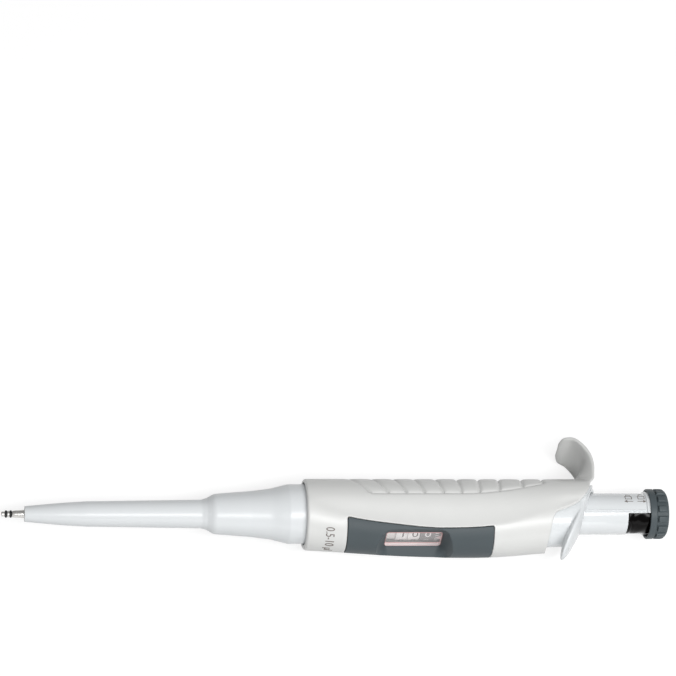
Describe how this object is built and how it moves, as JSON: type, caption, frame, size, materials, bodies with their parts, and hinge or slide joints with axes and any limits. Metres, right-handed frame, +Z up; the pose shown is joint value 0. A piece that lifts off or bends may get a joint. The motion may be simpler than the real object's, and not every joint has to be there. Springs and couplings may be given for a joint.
{
  "type": "micropipette",
  "caption": "Adjustable air-displacement micropipette with a finger hook, thumb ejector plate, volume knob, number window and tip-ejector sleeve.",
  "frame": {"origin": "centre of the bounding box at the bench it lies on", "axes": "+X along the pipette from the nozzle to the volume knob, +Z up from the bench, +Y towards the finger hook's side"},
  "size_m": [0.2458, 0.0494, 0.0259],
  "materials": {
    "housing": "satin",
    "display_panel": "satin",
    "display_lens": "clear",
    "counter_carrier": "satin",
    "counter_spacer": "satin",
    "drum_tens": "satin",
    "drum_units": "satin",
    "drum_tenths": "satin",
    "nut_guide": "satin",
    "volume_nut": "satin",
    "volume_spindle": "turned",
    "operating_tube": "gloss",
    "button_core": "satin",
    "lock_bush": "gloss",
    "volume_knob": "satin",
    "upper_guide": "satin",
    "ejector_plate": "gloss",
    "ejector_rod": "satin",
    "ejector_coupler": "satin",
    "ejector_spring": "wire",
    "ejector_sleeve": "gloss",
    "lower_barrel": "satin",
    "barrel_nut": "machined",
    "nozzle": "turned",
    "nozzle_o_ring_1": "matte",
    "nozzle_o_ring_2": "matte",
    "piston_seal": "satin",
    "seal_o_ring": "matte",
    "seal_retainer": "turned",
    "seal_spring": "wire",
    "seal_plug": "machined",
    "return_spring": "wire",
    "blowout_spring": "wire",
    "stop_ring": "machined",
    "spring_seat": "satin",
    "piston": "polished",
    "piston_rod": "turned"
  },
  "bodies": {
    "body": {"housing": "housing", "display_panel": "display_panel", "display_lens": "display_lens", "counter_carrier": "counter_carrier", "counter_spacer": "counter_spacer", "nut_guide": "nut_guide", "upper_guide": "upper_guide", "lower_barrel": "lower_barrel", "barrel_nut": "barrel_nut", "nozzle": "nozzle", "nozzle_o_ring_1": "nozzle_o_ring_1", "nozzle_o_ring_2": "nozzle_o_ring_2", "piston_seal": "piston_seal", "seal_o_ring": "seal_o_ring", "seal_retainer": "seal_retainer", "seal_spring": "seal_spring", "seal_plug": "seal_plug", "return_spring": "return_spring", "blowout_spring": "blowout_spring", "ejector_spring": "ejector_spring"},
    "button": {"operating_tube": "operating_tube", "button_core": "button_core", "piston_rod": "piston_rod", "piston": "piston", "spring_seat": "spring_seat"},
    "blowout_stop": {"stop_ring": "stop_ring"},
    "lock": {"lock_bush": "lock_bush"},
    "knob": {"volume_knob": "volume_knob"},
    "spindle": {"volume_spindle": "volume_spindle"},
    "nut": {"volume_nut": "volume_nut"},
    "tens": {"drum_tens": "drum_tens"},
    "units": {"drum_units": "drum_units"},
    "tenths": {"drum_tenths": "drum_tenths"},
    "ejector": {"ejector_plate": "ejector_plate", "ejector_rod": "ejector_rod", "ejector_coupler": "ejector_coupler", "ejector_sleeve": "ejector_sleeve"}
  },
  "joints": [
    {"name": "plunger_press", "type": "slide", "parent": "body", "child": "button", "axis": [-1, 0, 0], "range_m": [0, 0.0145], "stiffness_N_per_m": 250, "springref_m": -0.008, "deforming": ["return_spring"]},
    {"name": "blowout_slide", "type": "slide", "parent": "body", "child": "blowout_stop", "axis": [-1, 0, 0], "range_m": [0, 0.0018], "deforming": ["blowout_spring"]},
    {"name": "volume_lock", "type": "slide", "parent": "button", "child": "lock", "axis": [1, 0, 0], "range_m": [0, 0.0015]},
    {"name": "volume_turn", "type": "hinge", "parent": "lock", "child": "knob", "pos_m": [0, -0.00557, 0.0128], "axis": [1, 0, 0], "range_deg": [-3420, 0]},
    {"name": "spindle_turn", "type": "hinge", "parent": "button", "child": "spindle", "pos_m": [0, -0.00557, 0.0128], "axis": [1, 0, 0], "range_deg": [-3420, 0]},
    {"name": "nut_travel", "type": "slide", "parent": "body", "child": "nut", "axis": [1, 0, 0], "range_m": [-0.01207, 0]},
    {"name": "tenths_turn", "type": "hinge", "parent": "body", "child": "tenths", "pos_m": [0, -0.00557, 0.0128], "axis": [1, 0, 0], "range_deg": [-3420, 0]},
    {"name": "units_turn", "type": "hinge", "parent": "body", "child": "units", "pos_m": [0, -0.00557, 0.0128], "axis": [1, 0, 0], "range_deg": [-342, 0]},
    {"name": "tens_turn", "type": "hinge", "parent": "body", "child": "tens", "pos_m": [0, -0.00557, 0.0128], "axis": [1, 0, 0], "range_deg": [-34.2, 0]},
    {"name": "ejector_press", "type": "slide", "parent": "body", "child": "ejector", "axis": [-1, 0, 0], "range_m": [0, 0.005], "stiffness_N_per_m": 600, "springref_m": -0.004, "deforming": ["ejector_spring"]}
  ],
  "couplings": [
    {"joint": "blowout_slide", "follows": "plunger_press", "ratio": 0.12414},
    {"joint": "spindle_turn", "follows": "volume_turn", "ratio": 1},
    {"joint": "nut_travel", "follows": "volume_turn", "m_per_rad": 0.00020213},
    {"joint": "tenths_turn", "follows": "volume_turn", "ratio": 1},
    {"joint": "units_turn", "follows": "volume_turn", "ratio": 0.1},
    {"joint": "tens_turn", "follows": "volume_turn", "ratio": 0.01}
  ]
}
